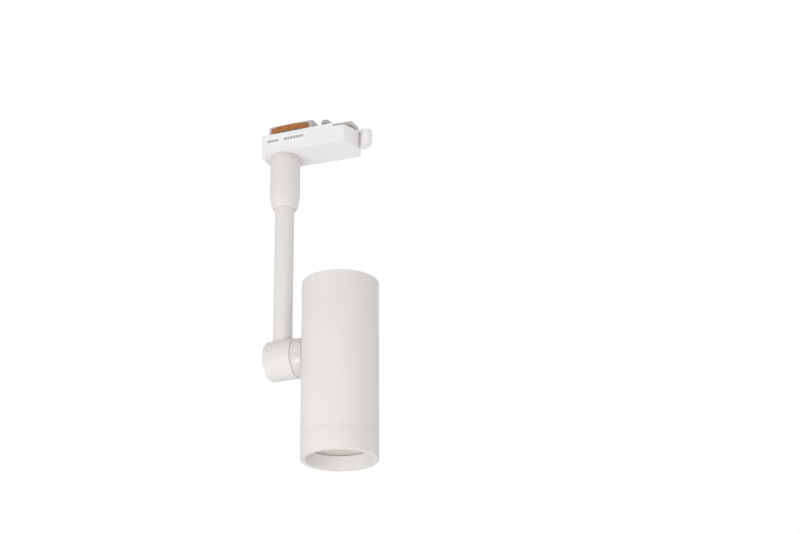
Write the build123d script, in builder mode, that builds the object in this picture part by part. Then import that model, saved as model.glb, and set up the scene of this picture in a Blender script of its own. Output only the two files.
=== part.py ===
"""Track spotlight: a cylinder head on a knuckle, hanging by a stem from a single-phase track adapter.

Millimetres, +Z up. The origin is where the stem's swivel axis meets the adapter's seat, the plane
that lies against the underside of the track. +X runs along the track towards the lamp head.
"""

from build123d import *
import os
from math import cos, hypot, radians, sqrt, tan

os.makedirs("parts", exist_ok=True)

# ---------------------------------------------------------------- driving dimensions

# lamp head
head_length = 143.7
head_top = -131.7           # height of the back cap's face
head_margin = 5.0           # lamp's rim to the head's outside
head_wall = 2.0
cap_flange = 3.0            # part of the back cap that shows
cap_spigot = 6.0            # part of the back cap inside the tube
cap_edge = 0.5              # rounding of the back cap
cap_post_wall = 1.0         # round the posts' screw holes
ring_height = 19.0          # part of the front ring that shows
ring_spigot = 6.5           # part of the front ring inside the tube
ring_rim = 4.0              # width of the rim round the mouth
baffle_depth = 10.0         # rim to lamp seat
baffle_taper = 1.7          # how much the baffle closes in over its depth
seat_lip = 0.8              # thickness of the lip that the lamp rests on
ring_edge = 0.5             # bevel outside the rim
mouth_edge = 0.4            # bevel inside the rim
lamp_room = 0.7             # ring's bore to the lamp's side

# GU10 lamp
lamp_diameter = 50.0
lamp_length = 54.0          # face to pin tips
lamp_bezel_height = 3.2
lamp_rim_height = 8.0       # cylindrical part behind the bezel
lamp_cup_height = 36.0
lamp_neck_diameter = 25.0
lamp_pin_spacing = 10.0
lamp_pin_diameter = 3.2
lamp_pin_head = 4.8
lamp_pin_length = 7.0
lamp_pin_head_height = 2.3
lamp_shell = 1.4
lamp_lens = 1.2
lamp_lens_setback = 0.9
lamp_lens_margin = 2.4      # bezel's side to the lens
lamp_lens_ledge = 0.6       # bezel in front of the lens
bezel_overhang = 0.3        # bezel outside the cup
cup_bulge = 2.2             # how far the cup's side stands out of a straight cone
dish_bulge = 3.0            # the same for the reflector
dish_wall = 1.0
lamp_source_diameter = 16.4
lamp_source_level = 22.5    # lamp face to light source

# lampholder and its bracket
holder_diameter = 24.0
holder_height = 14.0
holder_edge = 1.0           # rounding of the holder
bracket_gap = 4.0           # bracket's ends to the tube
bracket_width = 18.0
bracket_sheet = 1.2
post_inset = 5.0            # bracket's end to the post's axis
post_diameter = 5.0
holder_screw_spacing = 12.0
wire_hole = 6.4             # hole in the bracket for the lamp wires
m3_diameter = 3.0
m3_head_diameter = 4.6
m3_head_height = 1.4
m3_engagement = 6.0

# knuckle
knuckle_axis = -188.5       # height of the tilt axis
knuckle_diameter = 31.7
knuckle_right = 12.9        # stem axis to the friction washer
knuckle_wall = 3.2
knuckle_edge = 1.2          # rounding of the free end
end_cap_thickness = 2.4
spanner_hole = 2.4
spanner_spacing = 15.8
spanner_depth = 1.2
friction_thickness = 0.4
boss_diameter = 30.9
boss_length = 5.6           # along the tilt axis, at the middle
gasket_thickness = 0.5
pivot_diameter = 10.0
pivot_bore = 6.4
pivot_head_height = 3.0
pivot_head_rim = 3.0        # bolt's head outside its shank
pivot_nut_wall = 2.5        # nut's flats outside the bolt
pivot_nut_height = 3.0
pivot_washer_thickness = 0.8
pivot_washer_rim = 0.8      # washer outside the nut's flats
pivot_end = 0.5             # bolt end past its nut
saddle_washer_rim = 1.0     # saddle washer outside the bolt's head
saddle_washer_edge = 1.6    # its thickness at the rim

# stem and coupler
stem_diameter = 15.2
stem_wall = 1.3
coupler_diameter = 24.1
coupler_top = -17.7
coupler_straight = 28.1     # length of the straight part
coupler_taper = 14.3        # length of the domed part
coupler_foot_wall = 2.0     # round the stem, at the lower end
coupler_edge = 0.5
coupler_lid = 4.5           # thickness of the coupler's top
coupler_step = 1.2          # stem to the coupler's bore, above the stem
stem_engagement = 14.0      # stem inside the coupler
cable_diameter = 3.8
cable_bend = 4.4

# stem swivel in the adapter
nipple_diameter = 10.0
nipple_bore = 7.0
nipple_top = -6.0
nipple_engagement = 9.0     # nipple inside the coupler
bush_wall = 2.0
bush_rim = 2.5              # flange outside the bush
bush_flange = 1.0
collar_wall = 6.4
swivel_washer_width = 3.5
swivel_washer_thickness = 0.8
swivel_nut_wall = 2.0       # nut's flats outside the nipple
swivel_nut_height = 3.2
nut_chamfer = 0.5

# track adapter
adapter_width = 34.6
adapter_left = 17.5         # swivel axis to the left end
adapter_right = 63.8        # swivel axis to the right end
adapter_bulge = 5.4         # how far the ends bow out
adapter_corner = 4.0
adapter_wall = 2.0
adapter_depth = 17.1        # seat to underside at the right end
adapter_shallow = 15.5      # seat to underside round the stem
relief_near = 3.0           # where the underside starts to fall, on the near side
relief_far = 16.0           # and on the far side
relief_step = 0.5           # height of the short ramp there
relief_ramp = 5.0           # length of the short ramp
relief_overrun = 0.25       # the cut runs past each side by this share of the width
recess_rim = 2.1            # round recess to the housing's side
recess_depth = 0.8
floor_thickness = 2.5
carrier_screw_left = -8.0   # swivel axis to the left pair of carrier screws
carrier_screw_length = 35.0 # spacing along the track
carrier_screw_inset = 4.5   # housing's side to the screws' axes
carrier_screw_grip = 6.0    # screw inside its post
carrier_post_diameter = 4.8
carrier_screw_diameter = 2.0
carrier_screw_head = 3.8
carrier_screw_socket = 1.3
carrier_plate = 2.0
carrier_plate_right = 30.0
plate_setback = 0.4         # the carrier plate lies this far under the seat

# key that stands in the track's slot
key_width = 15.6
key_left = 12.0
key_right = 62.0
key_height = 3.6
key_corner = 1.5
tower_width = 13.6
tower_right = 27.0
tower_height = 12.0
tower_wall = 1.9
tower_corner = 1.2
contact_strip = 0.6
contact_width = 5.0
contact_bow = 2.6
contact_level = 7.5
contact_inset = 3.0         # tower's left end to the strips
earth_bow = 1.8

# lock lever
lever_axis = 39.5           # swivel axis to lever spindle
lever_thickness = 2.2
lever_slot = 3.0            # height of the slot that the lever swings in
lever_hub_diameter = 17.0
lever_arm_width = 7.2
lever_rest = 13.0           # the locked lever points this many degrees to the far side
lever_tab_reach = 8.4
lever_tab_width = 10.4
lever_tab_corner = 3.8
lever_tab_low = 15.2        # seat to the tab's lowest edge
lever_tab_high = 11.8       # seat to the tab's outer edge
corner_ease = 0.4           # what the rounding takes off the housing's corner
slot_near_start = 50.0      # the slot starts here on the near side
spindle_diameter = 8.0
lug_length = 23.0
lug_width = 7.0
lug_height = 4.0
lug_chamfer = 0.8
lug_screw_diameter = 3.0
lug_screw_head = 5.4
lug_screw_depth = 9.0
lug_screw_socket = 2.5

# terminal block
terminal_left = 15.6
terminal_length = 11.0
terminal_width = 16.0
terminal_height = 8.2
terminal_pitch = 4.2
terminal_screw_diameter = 2.6
terminal_screw_depth = 2.4
terminal_screw_inset = 1.6  # block's left side to the screws' axes
terminal_slot_width = 0.6
terminal_slot_depth = 0.8
tail_depth = 3.4            # contact tails inside the block
tail_width = 4.0
wire_diameter = 1.7
wire_bend = 1.9
wire_drop = 0.7             # terminal block's top to the wires
wire_spread = 1.9           # spacing of the wires in the nipple
head_wire_spread = 1.3
head_wire_bend = 6.0
wire_gap = 0.4              # between the ends of cable and wires

# label
label_left = -11.0
label_length = 38.0
label_height = 7.0
label_top = -2.6
label_thickness = 0.15
label_corner = 0.6

# clearances
running_gap = 0.05          # between a shaft and its bearing
face_gap = 0.1              # between faces that slide on each other
spigot_gap = 0.15           # between the ring's spigot and the tube
swing_gap = 0.4             # round the lever
seam = 0.15                 # joint lines that show as a fine gap
fit_gap = 0.1               # round pieces that are held in a pocket

# ---------------------------------------------------------------- derived sizes

lamp_radius = lamp_diameter / 2
head_radius = lamp_radius + head_margin
tube_bore_radius = head_radius - head_wall
head_bottom = head_top - head_length
tube_top = head_top - cap_flange
tube_bottom = head_bottom + ring_height
mouth_radius = head_radius - ring_rim
seat_radius = mouth_radius - baffle_taper
seat_level = head_bottom + baffle_depth + seat_lip
lamp_face = seat_level + swing_gap
lamp_shoulder = lamp_face + lamp_cup_height
lamp_base_top = lamp_face + lamp_length - lamp_pin_length
holder_bottom = lamp_base_top + face_gap
holder_top = holder_bottom + holder_height
bracket_top = holder_top + bracket_sheet
knuckle_radius = knuckle_diameter / 2
knuckle_bore_radius = knuckle_radius - knuckle_wall
stem_radius = stem_diameter / 2
knuckle_left = stem_radius + 2 * fit_gap + end_cap_thickness     # stem axis to the end cap's face
pivot_wall_left = knuckle_right - knuckle_wall
boss_left = knuckle_right + face_gap + friction_thickness
boss_radius = boss_diameter / 2
saddle_radius = head_radius + gasket_thickness
head_offset = boss_left + boss_length + saddle_radius            # stem axis to head axis
stem_top = coupler_top - coupler_straight - coupler_taper + stem_engagement
stem_bottom = knuckle_axis + sqrt(knuckle_bore_radius**2 - stem_radius**2)
coupler_bottom = coupler_top - coupler_straight - coupler_taper
recess_ceiling = -adapter_shallow + recess_depth
cavity_floor = recess_ceiling + floor_thickness
pocket_floor = -adapter_shallow - relief_step + floor_thickness
bush_radius = nipple_diameter / 2 + bush_wall
plate_top = -plate_setback
plate_bottom = plate_top - carrier_plate
key_top = key_height
lever_top = -swing_gap
lever_bottom = lever_top - lever_thickness
half_width = adapter_width / 2
# the thumb tab passes round the housing's rounded corners and its end
corner_reach = hypot(adapter_right - adapter_bulge - lever_axis, half_width) - corner_ease
lever_tab_inner = max(corner_reach, adapter_right - lever_axis) + swing_gap
# the open lever lies across the housing, turned back by its locked angle
arm_lean = radians(lever_rest)
slot_far_start = lever_axis - half_width * tan(arm_lean) - lever_arm_width / 2 / cos(arm_lean) - swing_gap
spindle_post_top = lever_bottom - swing_gap
recess_radius = half_width - recess_rim
pocket_left = recess_radius + adapter_wall      # the cavity is deeper right of here

head_section = Plane.XZ.shift_origin((head_offset, 0, 0))
stem_section = Plane.XZ
pivot_plane = Plane(origin=(0, 0, knuckle_axis), x_dir=(0, 1, 0), z_dir=(1, 0, 0))


def level(height, x=0.0):
    """A horizontal plane at a height, centred on the stem axis or x to its right."""
    return Plane(origin=(x, 0, height))


def across(distance):
    """A plane square to the tilt axis, a distance to the right of the stem axis."""
    return pivot_plane.offset(distance)


def adapter_outline(inset):
    """The adapter's plan: straight sides and bowed ends, drawn in from the outer wall."""
    y = half_width - inset
    left = -adapter_left + inset
    right = adapter_right - inset
    with BuildSketch() as outline:
        with BuildLine():
            Line((left + adapter_bulge, y), (right - adapter_bulge, y))
            ThreePointArc((right - adapter_bulge, y), (right, 0), (right - adapter_bulge, -y))
            Line((right - adapter_bulge, -y), (left + adapter_bulge, -y))
            ThreePointArc((left + adapter_bulge, -y), (left, 0), (left + adapter_bulge, y))
        make_face()
        fillet(outline.vertices(), adapter_corner)
    return outline.sketch


# ---------------------------------------------------------------- adapter housing
# One moulding, open at the top. A slot under its top edge lets the lock lever swing out.

carrier_screw_places = [
    (carrier_screw_left + column * carrier_screw_length, row * (half_width - carrier_screw_inset))
    for column in (0, 1)
    for row in (-1, 1)
]
relief_lean = Vector(relief_far - relief_near, adapter_width, 0)
lean_length = relief_lean.length * (1 + 2 * relief_overrun)
relief_lead = relief_near - relief_overrun * (relief_far - relief_near)
relief_level = -adapter_shallow - relief_step
# on the near side the underside reaches its full depth at the right end
underside_fall = (adapter_depth + relief_level) / (adapter_right - relief_near - relief_ramp)
relief_end = 2 * adapter_right

with BuildPart() as adapter_housing:
    with BuildSketch(Plane.XY):
        add(adapter_outline(0))
    extrude(amount=-adapter_depth)
    # the underside steps up along a slanting line and is shallower round the stem
    with BuildSketch(Plane.XZ.offset(half_width + relief_overrun * adapter_width)) as relief:
        with BuildLine():
            Polyline(
                (-2 * adapter_left, -adapter_shallow),
                (relief_lead, -adapter_shallow),
                (relief_lead + relief_ramp, relief_level),
                (relief_end, relief_level - underside_fall * (relief_end - relief_lead - relief_ramp)),
                (relief_end, -2 * adapter_depth),
                (-2 * adapter_left, -2 * adapter_depth),
                close=True,
            )
        make_face()
    extrude(relief.sketch, amount=lean_length, dir=relief_lean.normalized(), mode=Mode.SUBTRACT)
    # cavity, shallow over the swivel and deeper over the terminals and the lever spindle
    with BuildSketch(Plane.XY):
        add(adapter_outline(adapter_wall))
    extrude(amount=cavity_floor, mode=Mode.SUBTRACT)
    with BuildSketch(level(cavity_floor)) as pocket:
        add(adapter_outline(adapter_wall))
        with Locations((pocket_left - adapter_right, 0)):
            Rectangle(2 * adapter_right, 2 * adapter_width, mode=Mode.SUBTRACT)
    extrude(amount=pocket_floor - cavity_floor, mode=Mode.SUBTRACT)
    # round recess and bush hole at the stem
    with BuildSketch(level(recess_ceiling)):
        Circle(recess_radius)
    extrude(amount=-adapter_depth, mode=Mode.SUBTRACT)
    with BuildSketch(level(cavity_floor)):
        Circle(bush_radius)
    extrude(amount=-adapter_depth, mode=Mode.SUBTRACT)
    # posts for the carrier's screws
    with BuildSketch(level(pocket_floor)):
        with Locations(*carrier_screw_places):
            Circle(carrier_post_diameter / 2)
    extrude(amount=plate_bottom - pocket_floor)
    with BuildSketch(level(plate_bottom)):
        with Locations(*carrier_screw_places):
            Circle(carrier_screw_diameter / 2)
    extrude(amount=-carrier_screw_grip, mode=Mode.SUBTRACT)
    # post that carries the lower end of the lever spindle
    with BuildSketch(level(pocket_floor, lever_axis)):
        Circle(spindle_diameter / 2 + adapter_wall)
        Circle(spindle_diameter / 2 + running_gap, mode=Mode.SUBTRACT)
    extrude(amount=spindle_post_top - pocket_floor)
    # lever slot: all of the right end, and back to the lever's stop on each side
    with BuildSketch(Plane.XY) as slot:
        with Locations((slot_near_start, -adapter_width)):
            Rectangle(adapter_width, adapter_width, align=(Align.MIN, Align.MIN))
        with Locations((slot_far_start, 0)):
            Rectangle(adapter_width, adapter_width, align=(Align.MIN, Align.MIN))
    extrude(slot.sketch, amount=-lever_slot, mode=Mode.SUBTRACT)
adapter_housing.part.label = "adapter_housing"
export_step(adapter_housing.part, "parts/adapter_housing.step")

# ---------------------------------------------------------------- contact carrier
# Closes the housing over the swivel. Above the seat it is a key in the track's slot and a hollow
# tower for the contacts, and its right end bridges the lever's hub.

tower_left = -key_left
tower_centre = (tower_right + tower_left) / 2
tower_length = tower_right - tower_left
terminal_top = cavity_floor + terminal_height
wire_level = terminal_top - wire_drop
wire_end = wire_level - wire_bend - wire_gap
contact_left = tower_left + contact_inset
tail_x = terminal_left + terminal_length / 2
bow_right = tail_x + tail_width / 2

with BuildPart() as contact_carrier:
    with BuildSketch(level(plate_top)) as plate:
        add(adapter_outline(adapter_wall + fit_gap))
        with Locations((carrier_plate_right, 0)):
            Rectangle(
                adapter_right, adapter_width, align=(Align.MIN, Align.CENTER), mode=Mode.SUBTRACT
            )
    extrude(amount=-carrier_plate)
    with BuildSketch(level(plate_top)):
        with Locations((-key_left, 0)):
            Rectangle(key_left + carrier_plate_right, key_width, align=(Align.MIN, Align.CENTER))
    extrude(amount=-plate_top)
    with BuildSketch(level(0)):
        with Locations(((key_right - key_left) / 2, 0)):
            RectangleRounded(key_right + key_left, key_width, key_corner)
    extrude(amount=key_top)
    with BuildSketch(level(key_top)):
        with Locations((tower_centre, 0)):
            RectangleRounded(tower_length, tower_width, tower_corner)
    extrude(amount=tower_height - key_top)
    # hollow for the contact tails, open to the housing below
    with BuildSketch(level(plate_bottom)):
        with Locations((tower_centre, 0)):
            Rectangle(tower_length - 2 * tower_wall, tower_width - 2 * tower_wall)
    extrude(amount=tower_height - tower_wall - plate_bottom, mode=Mode.SUBTRACT)
    # slots that the live and neutral strips come out of, at each end of their bows
    with BuildSketch(level(contact_level + contact_width / 2 + fit_gap)):
        with Locations((contact_left, 0), (bow_right, 0)):
            Rectangle(contact_strip + 2 * fit_gap, 2 * tower_width)
    extrude(amount=-contact_width - 2 * fit_gap, mode=Mode.SUBTRACT)
    # slot in the tower's roof for the earth strip
    with BuildSketch(level(tower_height)):
        with Locations((bow_right, 0)):
            Rectangle(contact_strip + 2 * fit_gap, contact_width + 2 * fit_gap)
    extrude(amount=-2 * tower_wall, mode=Mode.SUBTRACT)
    # hole for the lever spindle, and the carrier's screw holes
    with BuildSketch(level(key_top, lever_axis)):
        Circle(spindle_diameter / 2 + running_gap)
    extrude(amount=-2 * key_top, mode=Mode.SUBTRACT)
    with BuildSketch(level(plate_top)):
        with Locations(*carrier_screw_places):
            Circle(carrier_screw_diameter / 2)
    extrude(amount=-carrier_plate, mode=Mode.SUBTRACT)
contact_carrier.part.label = "contact_carrier"
export_step(contact_carrier.part, "parts/contact_carrier.step")

with BuildPart() as carrier_screws:
    with BuildSketch(level(plate_top)):
        with Locations(*carrier_screw_places):
            Circle(carrier_screw_diameter / 2)
    extrude(amount=-carrier_plate - carrier_screw_grip)
    with BuildSketch(level(plate_top)):
        with Locations(*carrier_screw_places):
            Circle(carrier_screw_head / 2)
            RegularPolygon(carrier_screw_socket / 2, 6, mode=Mode.SUBTRACT)
    extrude(amount=plate_setback - fit_gap)
carrier_screws.part.label = "carrier_screws"
export_step(carrier_screws.part, "parts/carrier_screws.step")

# ---------------------------------------------------------------- contacts
# Sprung strips: live and neutral bow out of the tower's sides, earth bows over its roof.

strip_face = tower_width / 2 + contact_strip / 2 + seam
tail_bottom = terminal_top - tail_depth

for side, contact_name in ((-1, "live_contact"), (1, "neutral_contact")):
    with BuildPart() as contact:
        with BuildSketch(level(contact_level - contact_width / 2)):
            with BuildLine() as strip:
                Line((contact_left, side * (strip_face - tower_wall)), (contact_left, side * strip_face))
                ThreePointArc(
                    (contact_left, side * strip_face),
                    ((contact_left + bow_right) / 2, side * (strip_face + contact_bow)),
                    (bow_right, side * strip_face),
                )
                Line((bow_right, side * strip_face), (bow_right, side * terminal_pitch))
                Line((bow_right, side * terminal_pitch), (bow_right - tail_width, side * terminal_pitch))
            trace(strip.edges(), line_width=contact_strip)
        extrude(amount=contact_width)
        with BuildSketch(level(tail_bottom)):
            with Locations((tail_x, side * terminal_pitch)):
                Rectangle(tail_width, contact_strip)
        extrude(amount=contact_level - tail_bottom)
    contact.part.label = contact_name
    export_step(contact.part, f"parts/{contact_name}.step")

with BuildPart() as earth_contact:
    roof_face = tower_height + contact_strip / 2 + seam
    with BuildSketch(Plane.XZ):
        with BuildLine() as strip:
            ThreePointArc(
                (contact_left, roof_face),
                ((contact_left + bow_right) / 2, roof_face + earth_bow),
                (bow_right, roof_face),
            )
            Line((bow_right, roof_face), (bow_right, tail_bottom))
        trace(strip.edges(), line_width=contact_strip)
    extrude(amount=contact_width / 2, both=True)
earth_contact.part.label = "earth_contact"
export_step(earth_contact.part, "parts/earth_contact.step")

# ---------------------------------------------------------------- terminal block

terminal_poles = (-terminal_pitch, 0, terminal_pitch)
terminal_screw_places = [(terminal_left + terminal_screw_inset, y) for y in terminal_poles]

with BuildPart() as terminal_block:
    with BuildSketch(level(cavity_floor)):
        with Locations((terminal_left, 0)):
            Rectangle(terminal_length, terminal_width, align=(Align.MIN, Align.CENTER))
    extrude(amount=terminal_height)
    with BuildSketch(level(terminal_top)):
        for side in (-1, 1):
            with Locations((tail_x, side * terminal_pitch)):
                Rectangle(tail_width + 2 * fit_gap, contact_strip + 2 * fit_gap)
        with Locations((bow_right, 0)):
            Rectangle(contact_strip + 2 * fit_gap, contact_width + 2 * fit_gap)
    extrude(amount=-tail_depth - fit_gap, mode=Mode.SUBTRACT)
    with BuildSketch(level(terminal_top)):
        with Locations(*terminal_screw_places):
            Circle(terminal_screw_diameter / 2)
    extrude(amount=-terminal_screw_depth, mode=Mode.SUBTRACT)
terminal_block.part.label = "terminal_block"
export_step(terminal_block.part, "parts/terminal_block.step")

with BuildPart() as terminal_screws:
    with BuildSketch(level(terminal_top - terminal_screw_depth)):
        with Locations(*terminal_screw_places):
            Circle(terminal_screw_diameter / 2)
    extrude(amount=terminal_screw_depth)
    with BuildSketch(level(terminal_top)):
        with Locations(*terminal_screw_places):
            Rectangle(terminal_screw_diameter, terminal_slot_width)
    extrude(amount=-terminal_slot_depth, mode=Mode.SUBTRACT)
terminal_screws.part.label = "terminal_screws"
export_step(terminal_screws.part, "parts/terminal_screws.step")

# ---------------------------------------------------------------- wires in the adapter
# From the terminal block over the swivel nut and down towards the stem's cable.

for pole, wire_name in ((-1, "live_wire"), (0, "earth_wire"), (1, "neutral_wire")):
    route = [
        (terminal_left, pole * terminal_pitch, wire_level),
        (terminal_left - wire_bend, pole * terminal_pitch, wire_level),
        (nipple_diameter / 2, pole * wire_spread, wire_level),
        (0, pole * wire_spread, wire_level),
        (0, pole * wire_spread, wire_end),
    ]
    if pole == 0:
        route = [route[0], *route[3:]]
    with BuildPart() as wire:
        with BuildLine() as path:
            FilletPolyline(*route, radius=wire_bend)
        with BuildSketch(Plane(origin=path.line @ 0, z_dir=path.line % 0)):
            Circle(wire_diameter / 2)
        sweep(path=path.line)
    wire.part.label = wire_name
    export_step(wire.part, f"parts/{wire_name}.step")

# ---------------------------------------------------------------- label
# A blank self-adhesive label on the near side.

with BuildPart() as rating_label:
    with BuildSketch(Plane.XZ.offset(half_width)):
        with Locations((label_left + label_length / 2, label_top - label_height / 2)):
            RectangleRounded(label_length, label_height, label_corner)
    extrude(amount=label_thickness)
rating_label.part.label = "rating_label"
export_step(rating_label.part, "parts/rating_label.step")

# ---------------------------------------------------------------- lock lever
# The lever lies under the key, swings in the housing's slot and turns the spindle and its lugs.

tab_middle = lever_tab_inner + lever_tab_reach / 2
lever_way = Vector(1, 0, 0).rotate(Axis.Z, lever_rest)
lever_level = Plane(origin=(lever_axis, 0, lever_top), x_dir=lever_way, z_dir=(0, 0, 1))
lever_side = Plane(origin=(lever_axis, 0, 0), x_dir=lever_way, z_dir=lever_way.cross(Vector(0, 0, 1)))

with BuildPart() as lock_lever:
    with BuildSketch(lever_level):
        Circle(lever_hub_diameter / 2)
        Rectangle(tab_middle, lever_arm_width, align=(Align.MIN, Align.CENTER))
        Circle(spindle_diameter / 2, mode=Mode.SUBTRACT)
    extrude(amount=-lever_thickness)
    with BuildSketch(lever_level):
        with Locations((tab_middle, 0)):
            RectangleRounded(lever_tab_reach, lever_tab_width, lever_tab_corner)
    extrude(amount=-lever_tab_low - lever_top)
    # the tab's foot slopes up towards its outer edge
    with BuildSketch(lever_side.offset(lever_tab_width)):
        with BuildLine():
            Polyline(
                (lever_tab_inner, -lever_tab_low),
                (lever_tab_inner + lever_tab_reach, -lever_tab_high),
                (lever_tab_inner + 2 * lever_tab_reach, -lever_tab_high),
                (lever_tab_inner + 2 * lever_tab_reach, -2 * lever_tab_low),
                (lever_tab_inner, -2 * lever_tab_low),
                close=True,
            )
        make_face()
    extrude(amount=-2 * lever_tab_width, mode=Mode.SUBTRACT)
lock_lever.part.label = "lock_lever"
export_step(lock_lever.part, "parts/lock_lever.step")

lug_bottom = key_top + face_gap
spindle_bottom = pocket_floor + 3 * face_gap

with BuildPart() as lever_spindle:
    with BuildSketch(level(spindle_bottom, lever_axis)):
        Circle(spindle_diameter / 2)
    extrude(amount=lug_bottom - spindle_bottom)
    with BuildSketch(level(lug_bottom, lever_axis)):
        Circle(lug_screw_diameter / 2)
    extrude(amount=-lug_screw_depth, mode=Mode.SUBTRACT)
lever_spindle.part.label = "lever_spindle"
export_step(lever_spindle.part, "parts/lever_spindle.step")

with BuildPart() as lock_lugs:
    with BuildSketch(level(lug_bottom, lever_axis)):
        SlotOverall(lug_length, lug_width, rotation=90)
        Circle(lug_screw_diameter / 2, mode=Mode.SUBTRACT)
    extrude(amount=lug_height)
    chamfer(lock_lugs.faces().sort_by(Axis.Z)[-1].outer_wire().edges(), lug_chamfer)
lock_lugs.part.label = "lock_lugs"
export_step(lock_lugs.part, "parts/lock_lugs.step")

with BuildPart() as lug_screw:
    lug_top = lug_bottom + lug_height
    with BuildSketch(level(lug_top, lever_axis)):
        Circle(lug_screw_diameter / 2)
    extrude(amount=-lug_height - lug_screw_depth)
    with BuildSketch(level(lug_top, lever_axis)):
        Circle(lug_screw_head / 2)
        RegularPolygon(lug_screw_socket / 2, 6, mode=Mode.SUBTRACT)
    extrude(amount=m3_head_height)
lug_screw.part.label = "lug_screw"
export_step(lug_screw.part, "parts/lug_screw.step")

# ---------------------------------------------------------------- stem swivel
# A hollow nipple turns in a flanged bush. A washer and a nut hold it up inside the housing.

bush_top = cavity_floor + bush_flange
washer_bottom = bush_top + face_gap
nut_bottom = washer_bottom + swivel_washer_thickness

with BuildPart() as swivel_bush:
    with BuildSketch(level(recess_ceiling)):
        Circle(bush_radius)
        Circle(nipple_diameter / 2 + running_gap, mode=Mode.SUBTRACT)
    extrude(amount=floor_thickness)
    with BuildSketch(level(cavity_floor)):
        Circle(bush_radius + bush_rim)
        Circle(nipple_diameter / 2 + running_gap, mode=Mode.SUBTRACT)
    extrude(amount=bush_flange)
swivel_bush.part.label = "swivel_bush"
export_step(swivel_bush.part, "parts/swivel_bush.step")

with BuildPart() as swivel_washer:
    with BuildSketch(level(washer_bottom)):
        Circle(nipple_diameter / 2 + swivel_washer_width)
        Circle(nipple_diameter / 2, mode=Mode.SUBTRACT)
    extrude(amount=swivel_washer_thickness)
swivel_washer.part.label = "swivel_washer"
export_step(swivel_washer.part, "parts/swivel_washer.step")

with BuildPart() as swivel_nut:
    with BuildSketch(level(nut_bottom)):
        RegularPolygon(nipple_diameter / 2 + swivel_nut_wall, 6, major_radius=False)
        Circle(nipple_diameter / 2, mode=Mode.SUBTRACT)
    extrude(amount=swivel_nut_height)
    chamfer(swivel_nut.faces().sort_by(Axis.Z)[-1].outer_wire().edges(), nut_chamfer)
swivel_nut.part.label = "swivel_nut"
export_step(swivel_nut.part, "parts/swivel_nut.step")

with BuildPart() as stem_nipple:
    with BuildSketch(level(nipple_top)):
        Circle(nipple_diameter / 2)
        Circle(nipple_bore / 2, mode=Mode.SUBTRACT)
    extrude(amount=coupler_top - nipple_engagement - nipple_top)
stem_nipple.part.label = "stem_nipple"
export_step(stem_nipple.part, "parts/stem_nipple.step")

with BuildPart() as swivel_collar:
    with BuildSketch(level(coupler_top)):
        Circle(nipple_diameter / 2 + collar_wall)
        Circle(nipple_diameter / 2, mode=Mode.SUBTRACT)
    extrude(amount=recess_ceiling - face_gap - coupler_top)
swivel_collar.part.label = "swivel_collar"
export_step(swivel_collar.part, "parts/swivel_collar.step")

# ---------------------------------------------------------------- coupler
# A turned cup with a domed lower end, screwed on the nipple. The stem is screwed into its foot.

coupler_radius = coupler_diameter / 2
coupler_shoulder = coupler_top - coupler_straight
coupler_foot_radius = stem_radius + coupler_foot_wall
coupler_bore_radius = stem_radius + coupler_step

with BuildPart() as stem_coupler:
    with BuildSketch(stem_section):
        with BuildLine():
            Polyline(
                (nipple_diameter / 2, coupler_top),
                (coupler_radius - coupler_edge, coupler_top),
                (coupler_radius, coupler_top - coupler_edge),
                (coupler_radius, coupler_shoulder),
            )
            TangentArc(
                (coupler_radius, coupler_shoulder),
                (coupler_foot_radius, coupler_bottom + coupler_edge),
                tangent=(0, -1),
            )
            Polyline(
                (coupler_foot_radius, coupler_bottom + coupler_edge),
                (coupler_foot_radius - coupler_edge, coupler_bottom),
                (stem_radius, coupler_bottom),
                (stem_radius, stem_top),
                (coupler_bore_radius, stem_top),
                (coupler_bore_radius, coupler_top - coupler_lid),
                (nipple_diameter / 2, coupler_top - coupler_lid),
                (nipple_diameter / 2, coupler_top),
            )
        make_face()
    revolve(axis=Axis.Z)
stem_coupler.part.label = "stem_coupler"
export_step(stem_coupler.part, "parts/stem_coupler.step")

# ---------------------------------------------------------------- stem

with BuildPart() as stem_tube:
    with BuildSketch(level(stem_top)):
        Circle(stem_radius)
        Circle(stem_radius - stem_wall, mode=Mode.SUBTRACT)
    extrude(amount=stem_bottom - stem_top)
stem_tube.part.label = "stem_tube"
export_step(stem_tube.part, "parts/stem_tube.step")

pivot_nut_right = pivot_wall_left - face_gap - pivot_washer_thickness
pivot_left = pivot_nut_right - pivot_nut_height - pivot_end

with BuildPart() as stem_cable:
    with BuildLine() as path:
        FilletPolyline(
            (0, 0, wire_end - wire_gap),
            (0, 0, knuckle_axis),
            (pivot_left - wire_gap, 0, knuckle_axis),
            radius=cable_bend,
        )
    with BuildSketch(level(wire_end - wire_gap)):
        Circle(cable_diameter / 2)
    sweep(path=path.line)
stem_cable.part.label = "stem_cable"
export_step(stem_cable.part, "parts/stem_cable.step")

# ---------------------------------------------------------------- knuckle
# A cup that lies across the stem, open at its free end for the pivot nut.

with BuildPart() as knuckle_housing:
    with BuildSketch(across(-knuckle_left)):
        Circle(knuckle_radius)
    extrude(amount=knuckle_left + knuckle_right)
    fillet(knuckle_housing.edges().filter_by(GeomType.CIRCLE).sort_by(Axis.X)[0], knuckle_edge)
    with BuildSketch(across(-knuckle_left)):
        Circle(knuckle_bore_radius)
    extrude(amount=knuckle_left + pivot_wall_left, mode=Mode.SUBTRACT)
    with BuildSketch(across(0)):
        Circle(pivot_diameter / 2 + running_gap)
    extrude(amount=2 * knuckle_right, mode=Mode.SUBTRACT)
    with BuildSketch(level(knuckle_axis)):
        Circle(stem_radius)
    extrude(amount=knuckle_diameter, mode=Mode.SUBTRACT)
knuckle_housing.part.label = "knuckle_housing"
export_step(knuckle_housing.part, "parts/knuckle_housing.step")

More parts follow.
